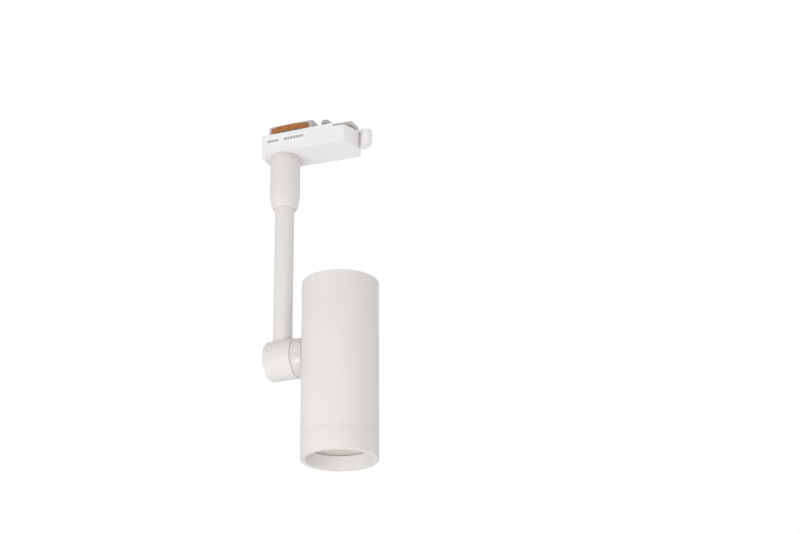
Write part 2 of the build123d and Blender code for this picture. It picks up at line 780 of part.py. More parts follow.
with BuildPart() as knuckle_cap:
    with BuildSketch(across(-knuckle_left)):
        Circle(knuckle_bore_radius)
    extrude(amount=end_cap_thickness)
    # two holes for a pin spanner
    with BuildSketch(across(-knuckle_left)):
        with Locations((-spanner_spacing / 2, 0), (spanner_spacing / 2, 0)):
            Circle(spanner_hole / 2)
    extrude(amount=spanner_depth, mode=Mode.SUBTRACT)
knuckle_cap.part.label = "knuckle_cap"
export_step(knuckle_cap.part, "parts/knuckle_cap.step")

# ---------------------------------------------------------------- tilt pivot
# A hollow bolt through the head's wall, saddle, boss and knuckle, so that the wires pass inside it.

pivot_head_radius = pivot_diameter / 2 + pivot_head_rim
pivot_nut_radius = pivot_diameter / 2 + pivot_nut_wall
saddle_washer_radius = pivot_head_radius + saddle_washer_rim
pivot_head_left = head_offset - sqrt(tube_bore_radius**2 - saddle_washer_radius**2) + saddle_washer_edge

with BuildPart() as friction_washer:
    with BuildSketch(across(knuckle_right + face_gap)):
        Circle(boss_radius - gasket_thickness)
        Circle(pivot_diameter / 2, mode=Mode.SUBTRACT)
    extrude(amount=friction_thickness)
friction_washer.part.label = "friction_washer"
export_step(friction_washer.part, "parts/friction_washer.step")

with BuildPart() as pivot_boss:
    with BuildSketch(across(boss_left)):
        Circle(boss_radius)
        Circle(pivot_diameter / 2, mode=Mode.SUBTRACT)
    extrude(amount=head_offset - boss_left)
    with BuildSketch(level(knuckle_axis - boss_diameter, head_offset)):
        Circle(saddle_radius)
    extrude(amount=2 * boss_diameter, mode=Mode.SUBTRACT)
pivot_boss.part.label = "pivot_boss"
export_step(pivot_boss.part, "parts/pivot_boss.step")

with BuildPart() as saddle_gasket:
    with BuildSketch(across(boss_left)):
        Circle(boss_radius - gasket_thickness)
        Circle(pivot_diameter / 2, mode=Mode.SUBTRACT)
    extrude(amount=head_offset - boss_left)
    with BuildSketch(level(knuckle_axis - boss_diameter, head_offset)):
        Circle(saddle_radius)
        Circle(head_radius, mode=Mode.SUBTRACT)
    extrude(amount=2 * boss_diameter, mode=Mode.INTERSECT)
saddle_gasket.part.label = "saddle_gasket"
export_step(saddle_gasket.part, "parts/saddle_gasket.step")

with BuildPart() as saddle_washer:
    with BuildSketch(across(boss_left)):
        Circle(saddle_washer_radius)
        Circle(pivot_diameter / 2, mode=Mode.SUBTRACT)
    extrude(amount=pivot_head_left - boss_left)
    with BuildSketch(level(knuckle_axis - boss_diameter, head_offset)):
        Circle(tube_bore_radius)
    extrude(amount=2 * boss_diameter, mode=Mode.INTERSECT)
saddle_washer.part.label = "saddle_washer"
export_step(saddle_washer.part, "parts/saddle_washer.step")

with BuildPart() as pivot_bolt:
    with BuildSketch(across(pivot_left)):
        Circle(pivot_diameter / 2)
    extrude(amount=pivot_head_left - pivot_left)
    with BuildSketch(across(pivot_head_left)):
        RegularPolygon(pivot_head_radius, 6)
    extrude(amount=pivot_head_height)
    with BuildSketch(across(pivot_left)):
        Circle(pivot_bore / 2)
    extrude(amount=head_offset, mode=Mode.SUBTRACT)
pivot_bolt.part.label = "pivot_bolt"
export_step(pivot_bolt.part, "parts/pivot_bolt.step")

with BuildPart() as pivot_washer:
    with BuildSketch(across(pivot_nut_right)):
        Circle(pivot_nut_radius + pivot_washer_rim)
        Circle(pivot_diameter / 2, mode=Mode.SUBTRACT)
    extrude(amount=pivot_washer_thickness)
pivot_washer.part.label = "pivot_washer"
export_step(pivot_washer.part, "parts/pivot_washer.step")

with BuildPart() as pivot_nut:
    with BuildSketch(across(pivot_nut_right - pivot_nut_height)):
        RegularPolygon(pivot_nut_radius, 6, major_radius=False)
        Circle(pivot_diameter / 2, mode=Mode.SUBTRACT)
    extrude(amount=pivot_nut_height)
pivot_nut.part.label = "pivot_nut"
export_step(pivot_nut.part, "parts/pivot_nut.step")

# ---------------------------------------------------------------- head tube and back cap

with BuildPart() as head_tube:
    with BuildSketch(level(tube_bottom, head_offset)):
        Circle(head_radius)
        Circle(tube_bore_radius, mode=Mode.SUBTRACT)
    extrude(amount=tube_top - tube_bottom)
    with BuildSketch(across(0)):
        Circle(pivot_diameter / 2)
    extrude(amount=head_offset, mode=Mode.SUBTRACT)
head_tube.part.label = "head_tube"
export_step(head_tube.part, "parts/head_tube.step")

bracket_end = tube_bore_radius - bracket_gap
post_places = [(0, side * (bracket_end - post_inset)) for side in (-1, 1)]
cap_boss_bottom = tube_top - cap_spigot

with BuildPart() as back_cap:
    with BuildSketch(level(tube_top + seam, head_offset)):
        Circle(head_radius)
    extrude(amount=cap_flange - seam)
    fillet(back_cap.edges().sort_by(Axis.Z)[-1], cap_edge)
    with BuildSketch(level(tube_top + seam, head_offset)):
        Circle(tube_bore_radius - fit_gap)
        Circle(tube_bore_radius - fit_gap - head_wall, mode=Mode.SUBTRACT)
        with Locations(*post_places):
            Circle(post_diameter / 2 + cap_post_wall)
    extrude(amount=cap_boss_bottom - tube_top - seam)
    with BuildSketch(level(cap_boss_bottom, head_offset)):
        with Locations(*post_places):
            Circle(m3_diameter / 2)
    extrude(amount=cap_spigot, mode=Mode.SUBTRACT)
back_cap.part.label = "back_cap"
export_step(back_cap.part, "parts/back_cap.step")

# ---------------------------------------------------------------- lampholder on its bracket
# Two spacer posts hang from the back cap and carry a sheet bracket, with the lampholder under it.

with BuildPart() as bracket_posts:
    with BuildSketch(level(bracket_top, head_offset)):
        with Locations(*post_places):
            RegularPolygon(post_diameter / 2, 6)
    extrude(amount=cap_boss_bottom - bracket_top)
    with BuildSketch(level(cap_boss_bottom, head_offset)):
        with Locations(*post_places):
            Circle(m3_diameter / 2)
    extrude(amount=m3_engagement - seam)
    with BuildSketch(level(bracket_top, head_offset)):
        with Locations(*post_places):
            Circle(m3_diameter / 2)
    extrude(amount=m3_engagement, mode=Mode.SUBTRACT)
bracket_posts.part.label = "bracket_posts"
export_step(bracket_posts.part, "parts/bracket_posts.step")

holder_screw_places = [(side * holder_screw_spacing / 2, 0) for side in (-1, 1)]

with BuildPart() as lampholder_bracket:
    with BuildSketch(level(holder_top, head_offset)):
        SlotOverall(2 * bracket_end, bracket_width, rotation=90)
        Circle(wire_hole / 2, mode=Mode.SUBTRACT)
        with Locations(*post_places, *holder_screw_places):
            Circle(m3_diameter / 2, mode=Mode.SUBTRACT)
    extrude(amount=bracket_sheet)
lampholder_bracket.part.label = "lampholder_bracket"
export_step(lampholder_bracket.part, "parts/lampholder_bracket.step")

with BuildPart() as post_screws:
    with BuildSketch(level(holder_top, head_offset)):
        with Locations(*post_places):
            Circle(m3_head_diameter / 2)
    extrude(amount=-m3_head_height)
    with BuildSketch(level(holder_top, head_offset)):
        with Locations(*post_places):
            Circle(m3_diameter / 2)
    extrude(amount=bracket_sheet + m3_engagement - seam)
post_screws.part.label = "post_screws"
export_step(post_screws.part, "parts/post_screws.step")

with BuildPart() as holder_screws:
    with BuildSketch(level(bracket_top, head_offset)):
        with Locations(*holder_screw_places):
            Circle(m3_head_diameter / 2)
    extrude(amount=m3_head_height)
    with BuildSketch(level(bracket_top, head_offset)):
        with Locations(*holder_screw_places):
            Circle(m3_diameter / 2)
    extrude(amount=-bracket_sheet - m3_engagement)
holder_screws.part.label = "holder_screws"
export_step(holder_screws.part, "parts/holder_screws.step")

pin_places = [(0, side * lamp_pin_spacing / 2) for side in (-1, 1)]

with BuildPart() as lampholder:
    with BuildSketch(level(holder_bottom, head_offset)):
        Circle(holder_diameter / 2)
    extrude(amount=holder_height)
    with BuildSketch(level(holder_bottom, head_offset)):
        with Locations(*pin_places):
            Circle(lamp_pin_head / 2 + fit_gap)
    extrude(amount=lamp_pin_length + fit_gap, mode=Mode.SUBTRACT)
    with BuildSketch(level(holder_top, head_offset)):
        with Locations(*holder_screw_places):
            Circle(m3_diameter / 2)
    extrude(amount=-m3_engagement, mode=Mode.SUBTRACT)
    fillet(lampholder.edges().filter_by(GeomType.CIRCLE).sort_by(SortBy.RADIUS)[-2:], holder_edge)
lampholder.part.label = "lampholder"
export_step(lampholder.part, "parts/lampholder.step")

for side, wire_name in ((-1, "lamp_live_wire"), (1, "lamp_neutral_wire")):
    with BuildPart() as wire:
        with BuildLine() as path:
            FilletPolyline(
                (pivot_left + wire_gap, side * head_wire_spread, knuckle_axis),
                (head_offset, side * head_wire_spread, knuckle_axis),
                (head_offset, side * head_wire_spread, holder_top),
                radius=head_wire_bend,
            )
        with BuildSketch(Plane(origin=path.line @ 0, z_dir=path.line % 0)):
            Circle(wire_diameter / 2)
        sweep(path=path.line)
    wire.part.label = wire_name
    export_step(wire.part, f"parts/{wire_name}.step")

# ---------------------------------------------------------------- GU10 lamp

neck_radius = lamp_neck_diameter / 2
cup_radius = lamp_radius - bezel_overhang

with BuildPart() as lamp_body:
    bezel_top = lamp_face + lamp_bezel_height
    rim_top = lamp_face + lamp_rim_height
    middle = (rim_top + lamp_shoulder) / 2
    middle_radius = (cup_radius + neck_radius) / 2 + cup_bulge
    with BuildSketch(head_section):
        with BuildLine():
            Line((cup_radius, bezel_top), (cup_radius, rim_top))
            ThreePointArc(
                (cup_radius, rim_top), (middle_radius, middle), (neck_radius, lamp_shoulder)
            )
            Polyline(
                (neck_radius, lamp_shoulder),
                (neck_radius, lamp_base_top),
                (0, lamp_base_top),
                (0, lamp_base_top - lamp_shell),
                (neck_radius - lamp_shell, lamp_base_top - lamp_shell),
                (neck_radius - lamp_shell, lamp_shoulder),
            )
            ThreePointArc(
                (neck_radius - lamp_shell, lamp_shoulder),
                (middle_radius - lamp_shell, middle),
                (cup_radius - lamp_shell, rim_top),
            )
            Polyline(
                (cup_radius - lamp_shell, rim_top),
                (cup_radius - lamp_shell, bezel_top),
                (cup_radius, bezel_top),
            )
        make_face()
    revolve(axis=Axis((head_offset, 0, 0), (0, 0, 1)))
lamp_body.part.label = "lamp_body"
export_step(lamp_body.part, "parts/lamp_body.step")

lens_radius = lamp_radius - lamp_lens_margin

with BuildPart() as lamp_bezel:
    with BuildSketch(level(lamp_face, head_offset)):
        Circle(lamp_radius)
        Circle(lens_radius - lamp_lens_ledge, mode=Mode.SUBTRACT)
    extrude(amount=lamp_lens_setback)
    with BuildSketch(level(lamp_face + lamp_lens_setback, head_offset)):
        Circle(lamp_radius)
        Circle(lens_radius, mode=Mode.SUBTRACT)
    extrude(amount=lamp_bezel_height - lamp_lens_setback)
lamp_bezel.part.label = "lamp_bezel"
export_step(lamp_bezel.part, "parts/lamp_bezel.step")

with BuildPart() as lamp_front_glass:
    with BuildSketch(level(lamp_face + lamp_lens_setback, head_offset)):
        Circle(lens_radius)
    extrude(amount=lamp_lens)
lamp_front_glass.part.label = "lamp_front_glass"
export_step(lamp_front_glass.part, "parts/lamp_front_glass.step")

with BuildPart() as lamp_reflector:
    source_radius = lamp_source_diameter / 2
    dish_radius = lens_radius
    dish_face = lamp_face + lamp_lens_setback + lamp_lens
    source_level = lamp_face + lamp_source_level
    dish_middle = (dish_radius + source_radius) / 2 + dish_bulge
    with BuildSketch(head_section):
        with BuildLine():
            ThreePointArc(
                (dish_radius, dish_face),
                (dish_middle, (dish_face + source_level) / 2),
                (source_radius, source_level),
            )
            Line((source_radius, source_level), (source_radius - dish_wall, source_level))
            ThreePointArc(
                (source_radius - dish_wall, source_level),
                (dish_middle - dish_wall, (dish_face + source_level) / 2),
                (dish_radius - dish_wall, dish_face),
            )
            Line((dish_radius - dish_wall, dish_face), (dish_radius, dish_face))
        make_face()
    revolve(axis=Axis((head_offset, 0, 0), (0, 0, 1)))
lamp_reflector.part.label = "lamp_reflector"
export_step(lamp_reflector.part, "parts/lamp_reflector.step")

with BuildPart() as lamp_source:
    with BuildSketch(level(source_level, head_offset)):
        Circle(source_radius)
    extrude(amount=lamp_shell)
lamp_source.part.label = "lamp_source"
export_step(lamp_source.part, "parts/lamp_source.step")

with BuildPart() as lamp_pins:
    with BuildSketch(level(lamp_base_top, head_offset)):
        with Locations(*pin_places):
            Circle(lamp_pin_diameter / 2)
    extrude(amount=lamp_pin_length)
    with BuildSketch(level(lamp_base_top + lamp_pin_length, head_offset)):
        with Locations(*pin_places):
            Circle(lamp_pin_head / 2)
    extrude(amount=-lamp_pin_head_height)
lamp_pins.part.label = "lamp_pins"
export_step(lamp_pins.part, "parts/lamp_pins.step")

# ---------------------------------------------------------------- front ring
# The ring's spigot slides into the tube. Its baffle narrows to the lip under the lamp.

ring_bore_radius = lamp_radius + lamp_room

with BuildPart() as front_ring:
    with BuildSketch(head_section):
        with BuildLine():
            Polyline(
                (head_radius, tube_bottom - seam),
                (head_radius, head_bottom + ring_edge),
                (head_radius - ring_edge, head_bottom),
                (mouth_radius + mouth_edge, head_bottom),
                (mouth_radius, head_bottom + mouth_edge),
                (seat_radius, seat_level - seat_lip),
                (seat_radius, seat_level),
                (ring_bore_radius, seat_level),
                (ring_bore_radius, tube_bottom + ring_spigot),
                (tube_bore_radius - spigot_gap, tube_bottom + ring_spigot),
                (tube_bore_radius - spigot_gap, tube_bottom - seam),
                close=True,
            )
        make_face()
    revolve(axis=Axis((head_offset, 0, 0), (0, 0, 1)))
front_ring.part.label = "front_ring"
export_step(front_ring.part, "parts/front_ring.step")
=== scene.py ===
from math import acos, asin, cos, pi, radians, sin, sqrt, tan

import bmesh
import bpy
from mathutils import Matrix, Vector


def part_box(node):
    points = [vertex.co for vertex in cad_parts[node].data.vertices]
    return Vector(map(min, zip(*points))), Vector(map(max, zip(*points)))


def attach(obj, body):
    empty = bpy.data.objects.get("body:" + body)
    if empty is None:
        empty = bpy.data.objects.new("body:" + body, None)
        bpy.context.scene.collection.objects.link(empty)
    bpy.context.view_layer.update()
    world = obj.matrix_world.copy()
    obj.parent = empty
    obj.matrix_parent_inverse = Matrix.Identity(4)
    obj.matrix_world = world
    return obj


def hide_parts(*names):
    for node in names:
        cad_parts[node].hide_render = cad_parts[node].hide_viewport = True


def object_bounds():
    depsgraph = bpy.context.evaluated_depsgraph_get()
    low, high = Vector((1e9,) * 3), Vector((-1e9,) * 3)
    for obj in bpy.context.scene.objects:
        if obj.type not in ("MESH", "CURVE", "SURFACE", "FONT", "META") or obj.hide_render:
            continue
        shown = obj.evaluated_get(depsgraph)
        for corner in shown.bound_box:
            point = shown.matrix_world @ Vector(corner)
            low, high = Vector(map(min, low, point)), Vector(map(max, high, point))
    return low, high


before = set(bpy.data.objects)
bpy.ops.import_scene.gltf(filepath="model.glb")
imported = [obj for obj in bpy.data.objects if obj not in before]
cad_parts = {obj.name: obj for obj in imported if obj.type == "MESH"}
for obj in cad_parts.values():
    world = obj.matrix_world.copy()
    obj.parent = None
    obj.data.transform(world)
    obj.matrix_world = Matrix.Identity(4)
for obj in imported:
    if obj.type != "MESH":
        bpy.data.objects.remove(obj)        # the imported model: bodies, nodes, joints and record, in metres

cadLow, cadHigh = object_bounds()
scene = bpy.context.scene
scene.view_settings.view_transform = "Standard"   # plain whites, as a studio cut-out needs


def mm(value):
    return value * 0.001


def hexColour(code):
    # sRGB hex to the linear colour that shaders take
    channels = [int(code[i:i + 2], 16) / 255 for i in (1, 3, 5)]
    return tuple(c / 12.92 if c <= 0.04045 else ((c + 0.055) / 1.055) ** 2.4 for c in channels) + (1,)


def addNode(tree, kind, settings=None, inputs=None, links=None):
    # one node: its own settings, fixed socket values, then links from other nodes' outputs
    node = tree.nodes.new(kind)
    for key, value in (settings or {}).items():
        setattr(node, key, value)
    for key, value in (inputs or {}).items():
        node.inputs[key].default_value = value
    for key, source in (links or {}).items():
        tree.links.new(source, node.inputs[key])
    return node


# camera: a long lens from below and a little to the lamp's side
cameraSettings = {
    "place": (0.6949, -1.4055, -0.7512),
    "turn": 22.94,        # degrees round from straight on
    "rise": 22.27,        # degrees up from level
    "roll": -0.364,
    "lens": 96.0,
}


def addCamera(s):
    turn, rise, roll = (radians(s[key]) for key in ("turn", "rise", "roll"))
    ahead = Vector((-sin(turn) * cos(rise), cos(turn) * cos(rise), sin(rise)))
    side = ahead.cross(Vector((0, 0, 1))).normalized()
    top = side.cross(ahead)
    right = side * cos(roll) + top * sin(roll)
    up = top * cos(roll) - side * sin(roll)
    data = bpy.data.cameras.new("camera")
    data.lens = s["lens"]
    data.clip_end = 50
    camera = bpy.data.objects.new("camera", data)
    scene.collection.objects.link(camera)
    camera.matrix_world = Matrix((right, up, -ahead)).transposed().to_4x4()
    camera.location = s["place"]
    scene.camera = camera


addCamera(cameraSettings)

# studio: pale floor, soft box lights and an even white surround
studio = {
    "floorDrop": 1.1,            # metres under the object
    "floorSize": 14.0,
    "floorColour": "#F4F4F3",
    "floorRoughness": 0.9,
    "surroundSeen": 1.0,
    "surroundLight": 0.75,
    "surroundTint": "#FFFFFF",
    "lights": [                  # name, place, size, watts
        ("lowSoftBox", (-0.15, -1.03, -1.33), 1.3, 12.2),
        ("cameraSoftBox", (0.56, -0.95, -1.3), 1.3, 4.3),
        ("keySoftBox", (-0.7, -1.7, -0.95), 0.45, 0.9),
    ],
    "aim": (0.03, 0, -0.14),
}


def addStudio(s):
    mesh = bpy.data.meshes.new("floor")
    half = s["floorSize"] / 2
    z = cadLow[2] - s["floorDrop"]
    corners = [(-half, -half, z), (half, -half, z), (half, half, z), (-half, half, z)]
    mesh.from_pydata(corners, [], [(0, 1, 2, 3)])
    floor = bpy.data.objects.new("floor", mesh)
    scene.collection.objects.link(floor)
    paint = bpy.data.materials.new("floorPaper")
    paint.use_nodes = True
    shader = paint.node_tree.nodes["Principled BSDF"]
    shader.inputs["Base Color"].default_value = hexColour(s["floorColour"])
    shader.inputs["Roughness"].default_value = s["floorRoughness"]
    mesh.materials.append(paint)
    for name, place, size, watts in s["lights"]:
        data = bpy.data.lights.new(name, "AREA")
        data.shape = "SQUARE"
        data.size = size
        data.energy = watts
        light = bpy.data.objects.new(name, data)
        scene.collection.objects.link(light)
        light.location = place
        light.rotation_euler = (Vector(s["aim"]) - Vector(place)).to_track_quat("-Z", "Y").to_euler()
    world = bpy.data.worlds.new("surround")
    scene.world = world
    world.use_nodes = True
    tree = world.node_tree
    tree.nodes.clear()
    tint = hexColour(s["surroundTint"])
    rays = addNode(tree, "ShaderNodeLightPath")
    seen = addNode(tree, "ShaderNodeBackground", inputs={"Color": tint, "Strength": s["surroundSeen"]})
    lit = addNode(tree, "ShaderNodeBackground", inputs={"Color": tint, "Strength": s["surroundLight"]})
    both = addNode(tree, "ShaderNodeMixShader", links={
        0: rays.outputs["Is Camera Ray"], 1: lit.outputs[0], 2: seen.outputs[0]})
    addNode(tree, "ShaderNodeOutputWorld", links={"Surface": both.outputs[0]})


addStudio(studio)
print("studio and camera ready")


# finishes
mottle = {"shadeFrom": 0.3, "shadeTo": 0.7, "cloudDetail": 3.0, "grainDetail": 4.0}


def mottled(tree, shader, s):
    # slow change of shade over the surface, with a fine grain in the gloss and in the relief
    place = addNode(tree, "ShaderNodeTexCoord")
    cloud = addNode(tree, "ShaderNodeTexNoise", links={"Vector": place.outputs["Object"]}, inputs={
        "Scale": 1 / mm(s["cloud"]), "Detail": mottle["cloudDetail"]})
    ramp = addNode(tree, "ShaderNodeValToRGB", links={"Fac": cloud.outputs["Fac"]})
    dark, light = ramp.color_ramp.elements
    dark.position, dark.color = mottle["shadeFrom"], hexColour(s["shade"])
    light.position, light.color = mottle["shadeTo"], hexColour(s["colour"])
    tree.links.new(ramp.outputs["Color"], shader.inputs["Base Color"])
    grain = addNode(tree, "ShaderNodeTexNoise", links={"Vector": place.outputs["Object"]}, inputs={
        "Scale": 1 / mm(s["grain"]), "Detail": mottle["grainDetail"]})
    gloss = addNode(tree, "ShaderNodeMapRange", links={"Value": grain.outputs["Fac"]}, inputs={
        "To Min": s["roughness"] - s["spread"], "To Max": s["roughness"] + s["spread"]})
    tree.links.new(gloss.outputs["Result"], shader.inputs["Roughness"])
    relief = addNode(tree, "ShaderNodeBump", links={"Height": grain.outputs["Fac"]}, inputs={
        "Strength": s["relief"], "Distance": mm(s["depth"])})
    tree.links.new(relief.outputs["Normal"], shader.inputs["Normal"])
    return place, relief


def finish(name, s, constants=None):
    # a mottled surface, with the constants that its own material needs
    material = bpy.data.materials.new(name)
    material.use_nodes = True
    tree = material.node_tree
    shader = tree.nodes["Principled BSDF"]
    place, relief = mottled(tree, shader, s)
    for socket, value in (constants or {}).items():
        shader.inputs[socket].default_value = value
    if "feed" in s:
        toolRings(tree, shader, s, place, relief)
    return material


def toolRings(tree, shader, s, place, relief):
    # fine rings that a lathe's tool leaves round the tilt axis
    rings = addNode(tree, "ShaderNodeTexWave", {"bands_direction": "X"}, {
        "Scale": 1 / (mm(s["feed"]) * 20), "Distortion": s["ringWander"], "Detail": s["ringDetail"]}, {
        "Vector": place.outputs["Object"]})     # the wave repeats 20 times in one unit at scale 1
    ringRelief = addNode(tree, "ShaderNodeBump", links={
        "Height": rings.outputs["Fac"], "Normal": relief.outputs["Normal"]}, inputs={
        "Strength": s["ringRelief"], "Distance": mm(s["ringDepth"])})
    tree.links.new(ringRelief.outputs["Normal"], shader.inputs["Normal"])


def powderCoatedAluminium():
    # baked white powder: matt, warm, with a faint orange peel about a millimetre across
    return finish("powderCoatedAluminium", {
        "colour": "#E9E6E4", "shade": "#E6E3E1", "cloud": 40, "grain": 0.9, "roughness": 0.46,
        "spread": 0.05, "relief": 0.25, "depth": 0.02})


def mouldedAbs():
    # injection moulded ABS from a polished tool: cool white and satin, with slow sink marks
    return finish("mouldedAbs", {
        "colour": "#F6F3F4", "shade": "#F4F1F2", "cloud": 25, "grain": 6.0, "roughness": 0.3,
        "spread": 0.03, "relief": 0.06, "depth": 0.01}, {"IOR": 1.54})


def mouldedNylon():
    # glass-filled nylon: light grey and dry, with fibre grain
    return finish("mouldedNylon", {
        "colour": "#D6D2CF", "shade": "#CFCAC7", "cloud": 8, "grain": 0.35, "roughness": 0.55,
        "spread": 0.08, "relief": 0.3, "depth": 0.02})


def naturalNylon():
    # unfilled nylon washer stock: natural grey-white, waxy
    return finish("naturalNylon", {
        "colour": "#C6C0BA", "shade": "#BDB7B1", "cloud": 6, "grain": 0.5, "roughness": 0.5,
        "spread": 0.05, "relief": 0.2, "depth": 0.01})


def enamelledBoss():
    # lathe-turned aluminium under thin gloss enamel: the tool's rings still show in the highlight
    return finish("enamelledBoss", {
        "colour": "#E0DDDA", "shade": "#DBD8D5", "cloud": 18, "grain": 0.6, "roughness": 0.3,
        "spread": 0.03, "relief": 0.1, "depth": 0.01, "feed": 0.45, "ringDepth": 0.012,
        "ringWander": 0.4, "ringDetail": 2.0, "ringRelief": 0.5},
        {"Coat Weight": 0.7, "Coat Roughness": 0.1})


def zincPlatedSteel():
    # bright zinc: bluish silver with small cloudy spangle
    return finish("zincPlatedSteel", {
        "colour": "#C9CCCF", "shade": "#B4B8BD", "cloud": 3, "grain": 0.3, "roughness": 0.32,
        "spread": 0.07, "relief": 0.2, "depth": 0.01}, {"Metallic": 1.0})


def springCopper():
    # rolled copper alloy strip: reddish, lightly rubbed
    return finish("springCopper", {
        "colour": "#C98A5C", "shade": "#B57548", "cloud": 4, "grain": 0.25, "roughness": 0.3,
        "spread": 0.08, "relief": 0.2, "depth": 0.008}, {"Metallic": 1.0})


def turnedBrass():
    # machined brass: yellow and bright
    return finish("turnedBrass", {
        "colour": "#CDB070", "shade": "#BC9D5C", "cloud": 5, "grain": 0.3, "roughness": 0.28,
        "spread": 0.05, "relief": 0.15, "depth": 0.008}, {"Metallic": 1.0})


def steatite():
    # unglazed electrical ceramic: cream, dry, with a pressed-powder grain
    return finish("steatite", {
        "colour": "#E8E1D3", "shade": "#DDD5C5", "cloud": 5, "grain": 0.25, "roughness": 0.7,
        "spread": 0.1, "relief": 0.4, "depth": 0.03})


def siliconeSleeve():
    # braided silicone over wire: off-white, soft, a weave of about half a millimetre
    return finish("siliconeSleeve", {
        "colour": "#DFDAD0", "shade": "#CFC9BD", "cloud": 2, "grain": 0.5, "roughness": 0.6,
        "spread": 0.1, "relief": 0.6, "depth": 0.05})


def labelFilm():
    # white polyester label: a shade whiter and glossier than the moulding
    return finish("labelFilm", {
        "colour": "#F8F8F8", "shade": "#F5F5F5", "cloud": 20, "grain": 2.0, "roughness": 0.35,
        "spread": 0.03, "relief": 0.08, "depth": 0.01})


def labelInk():
    # thermal print: dark grey, with a ribbon's uneven edge in its density
    return finish("labelInk", {
        "colour": "#5A5A5C", "shade": "#6E6E70", "cloud": 0.8, "grain": 0.2, "roughness": 0.6,
        "spread": 0.05, "relief": 0.1, "depth": 0.005})


def prismaticLens():
    # moulded polycarbonate optic: milky, with small pillow prisms that break up what lies behind
    return finish("prismaticLens", {
        "colour": "#F0ECE6", "shade": "#DBD5CD", "cloud": 3.5, "grain": 1.6, "roughness": 0.2,
        "spread": 0.05, "relief": 0.5, "depth": 0.25}, {"Transmission Weight": 0.15, "IOR": 1.58})


def mouldedPbt():
    # moulded PBT lamp shell: warm light grey, satin
    return finish("mouldedPbt", {
        "colour": "#D5CEC6", "shade": "#CDC5BC", "cloud": 6, "grain": 0.6, "roughness": 0.4,
        "spread": 0.05, "relief": 0.15, "depth": 0.01}, {"IOR": 1.56})


def dichroicReflector():
    # vacuum-coated facets: bright, with a warm brown-grey cast
    return finish("dichroicReflector", {
        "colour": "#D8D0C8", "shade": "#C4B6AA", "cloud": 7, "grain": 0.6, "roughness": 0.16,
        "spread": 0.05, "relief": 0.1, "depth": 0.01}, {"Metallic": 1.0})


def phosphor():
    # unlit emitter: matt yellow silicone with phosphor in it
    return finish("phosphor", {
        "colour": "#E3CC86", "shade": "#DABF72", "cloud": 3, "grain": 0.4, "roughness": 0.6,
        "spread": 0.05, "relief": 0.2, "depth": 0.02})


coated = powderCoatedAluminium()
moulded = mouldedAbs()
nylon = mouldedNylon()
washerNylon = naturalNylon()
enamel = enamelledBoss()
zinc = zincPlatedSteel()
copper = springCopper()
brass = turnedBrass()
ceramic = steatite()
sleeve = siliconeSleeve()
film = labelFilm()
ink = labelInk()
lensPlastic = prismaticLens()
shell = mouldedPbt()
mirror = dichroicReflector()
emitter = phosphor()
print("finishes ready")


# mesh tools
def newPiece(name, bm, crease=32):
    mesh = bpy.data.meshes.new(name)
    bmesh.ops.remove_doubles(bm, verts=bm.verts, dist=1e-7)      # metres
    bmesh.ops.recalc_face_normals(bm, faces=bm.faces)
    bm.to_mesh(mesh)
    bm.free()
    mesh.shade_smooth()
    mesh.set_sharp_from_angle(angle=radians(crease))
    piece = bpy.data.objects.new(name, mesh)
    scene.collection.objects.link(piece)
    return piece


def eased(points, steps=5):
    # a closed outline of (across, along, rounding), with each rounded corner turned into an arc
    line = []
    for i, (x, y, ease) in enumerate(points):
        corner = Vector((x, y))
        before = (Vector(points[i - 1][:2]) - corner).normalized()
        after = (Vector(points[(i + 1) % len(points)][:2]) - corner).normalized()
        if not ease:
            line.append(corner)
            continue
        half = acos(max(-1, min(1, before.dot(after)))) / 2
        middle = corner + (before + after).normalized() * ease / sin(half)
        start = corner + before * ease / tan(half) - middle
        sweep = start.angle_signed(corner + after * ease / tan(half) - middle)
        line += [middle + Matrix.Rotation(-sweep * k / steps, 2) @ start for k in range(steps + 1)]
    return line


def turned(name, outline, centre, axis="Z", segments=144, crease=32):
    # a closed outline in millimetres, turned round an axis through centre
    bm = bmesh.new()
    section = eased(outline)
    columns = []
    for k in range(segments):
        angle = 2 * pi * k / segments
        column = []
        for point in section:
            across, along = mm(point.x), mm(point.y)
            spin = (across * cos(angle), across * sin(angle))
            place = (*spin, along) if axis == "Z" else (along, *spin)
            column.append(bm.verts.new(Vector(centre) + Vector(place)))
        columns.append(column)
    for k in range(segments):
        a, b = columns[k], columns[(k + 1) % segments]
        for i in range(len(section)):
            j = (i + 1) % len(section)
            startsOff, endsOff = section[i].x > 1e-6, section[j].x > 1e-6
            if startsOff and endsOff:
                bm.faces.new([a[i], b[i], b[j], a[j]])
            elif endsOff:
                bm.faces.new([a[i], b[j], a[j]])
            elif startsOff:
                bm.faces.new([a[i], b[i], a[j]])
    return newPiece(name, bm, crease)


softening = {"flat": 0.5, "crease": 25, "roundAbove": 30}      # degrees


def softened(node, name, edge, segments=3):
    # the frame's own shape with its hard edges rounded over
    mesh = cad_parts[node].data.copy()
    mesh.materials.clear()
    bm = bmesh.new()
    bm.from_mesh(mesh)
    bmesh.ops.remove_doubles(bm, verts=bm.verts, dist=1e-6)
    bmesh.ops.dissolve_limit(bm, angle_limit=radians(softening["flat"]), verts=bm.verts, edges=bm.edges)
    piece = newPiece(name, bm, softening["crease"])
    rounding = piece.modifiers.new("easedEdges", "BEVEL")
    rounding.width = mm(edge)
    rounding.segments = segments
    rounding.limit_method = "ANGLE"
    rounding.angle_limit = radians(softening["roundAbove"])
    rounding.harden_normals = True
    return piece


def fit(piece, body, slotName, material, *nodes):
    piece.data.materials.clear()
    piece.data.materials.append(material)
    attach(piece, body)
    if nodes:
        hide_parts(*nodes)
    return piece


def span(node, axis):
    # lowest and highest place of a node along one axis, in millimetres
    low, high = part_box(node)
    return low[axis] * 1000, high[axis] * 1000


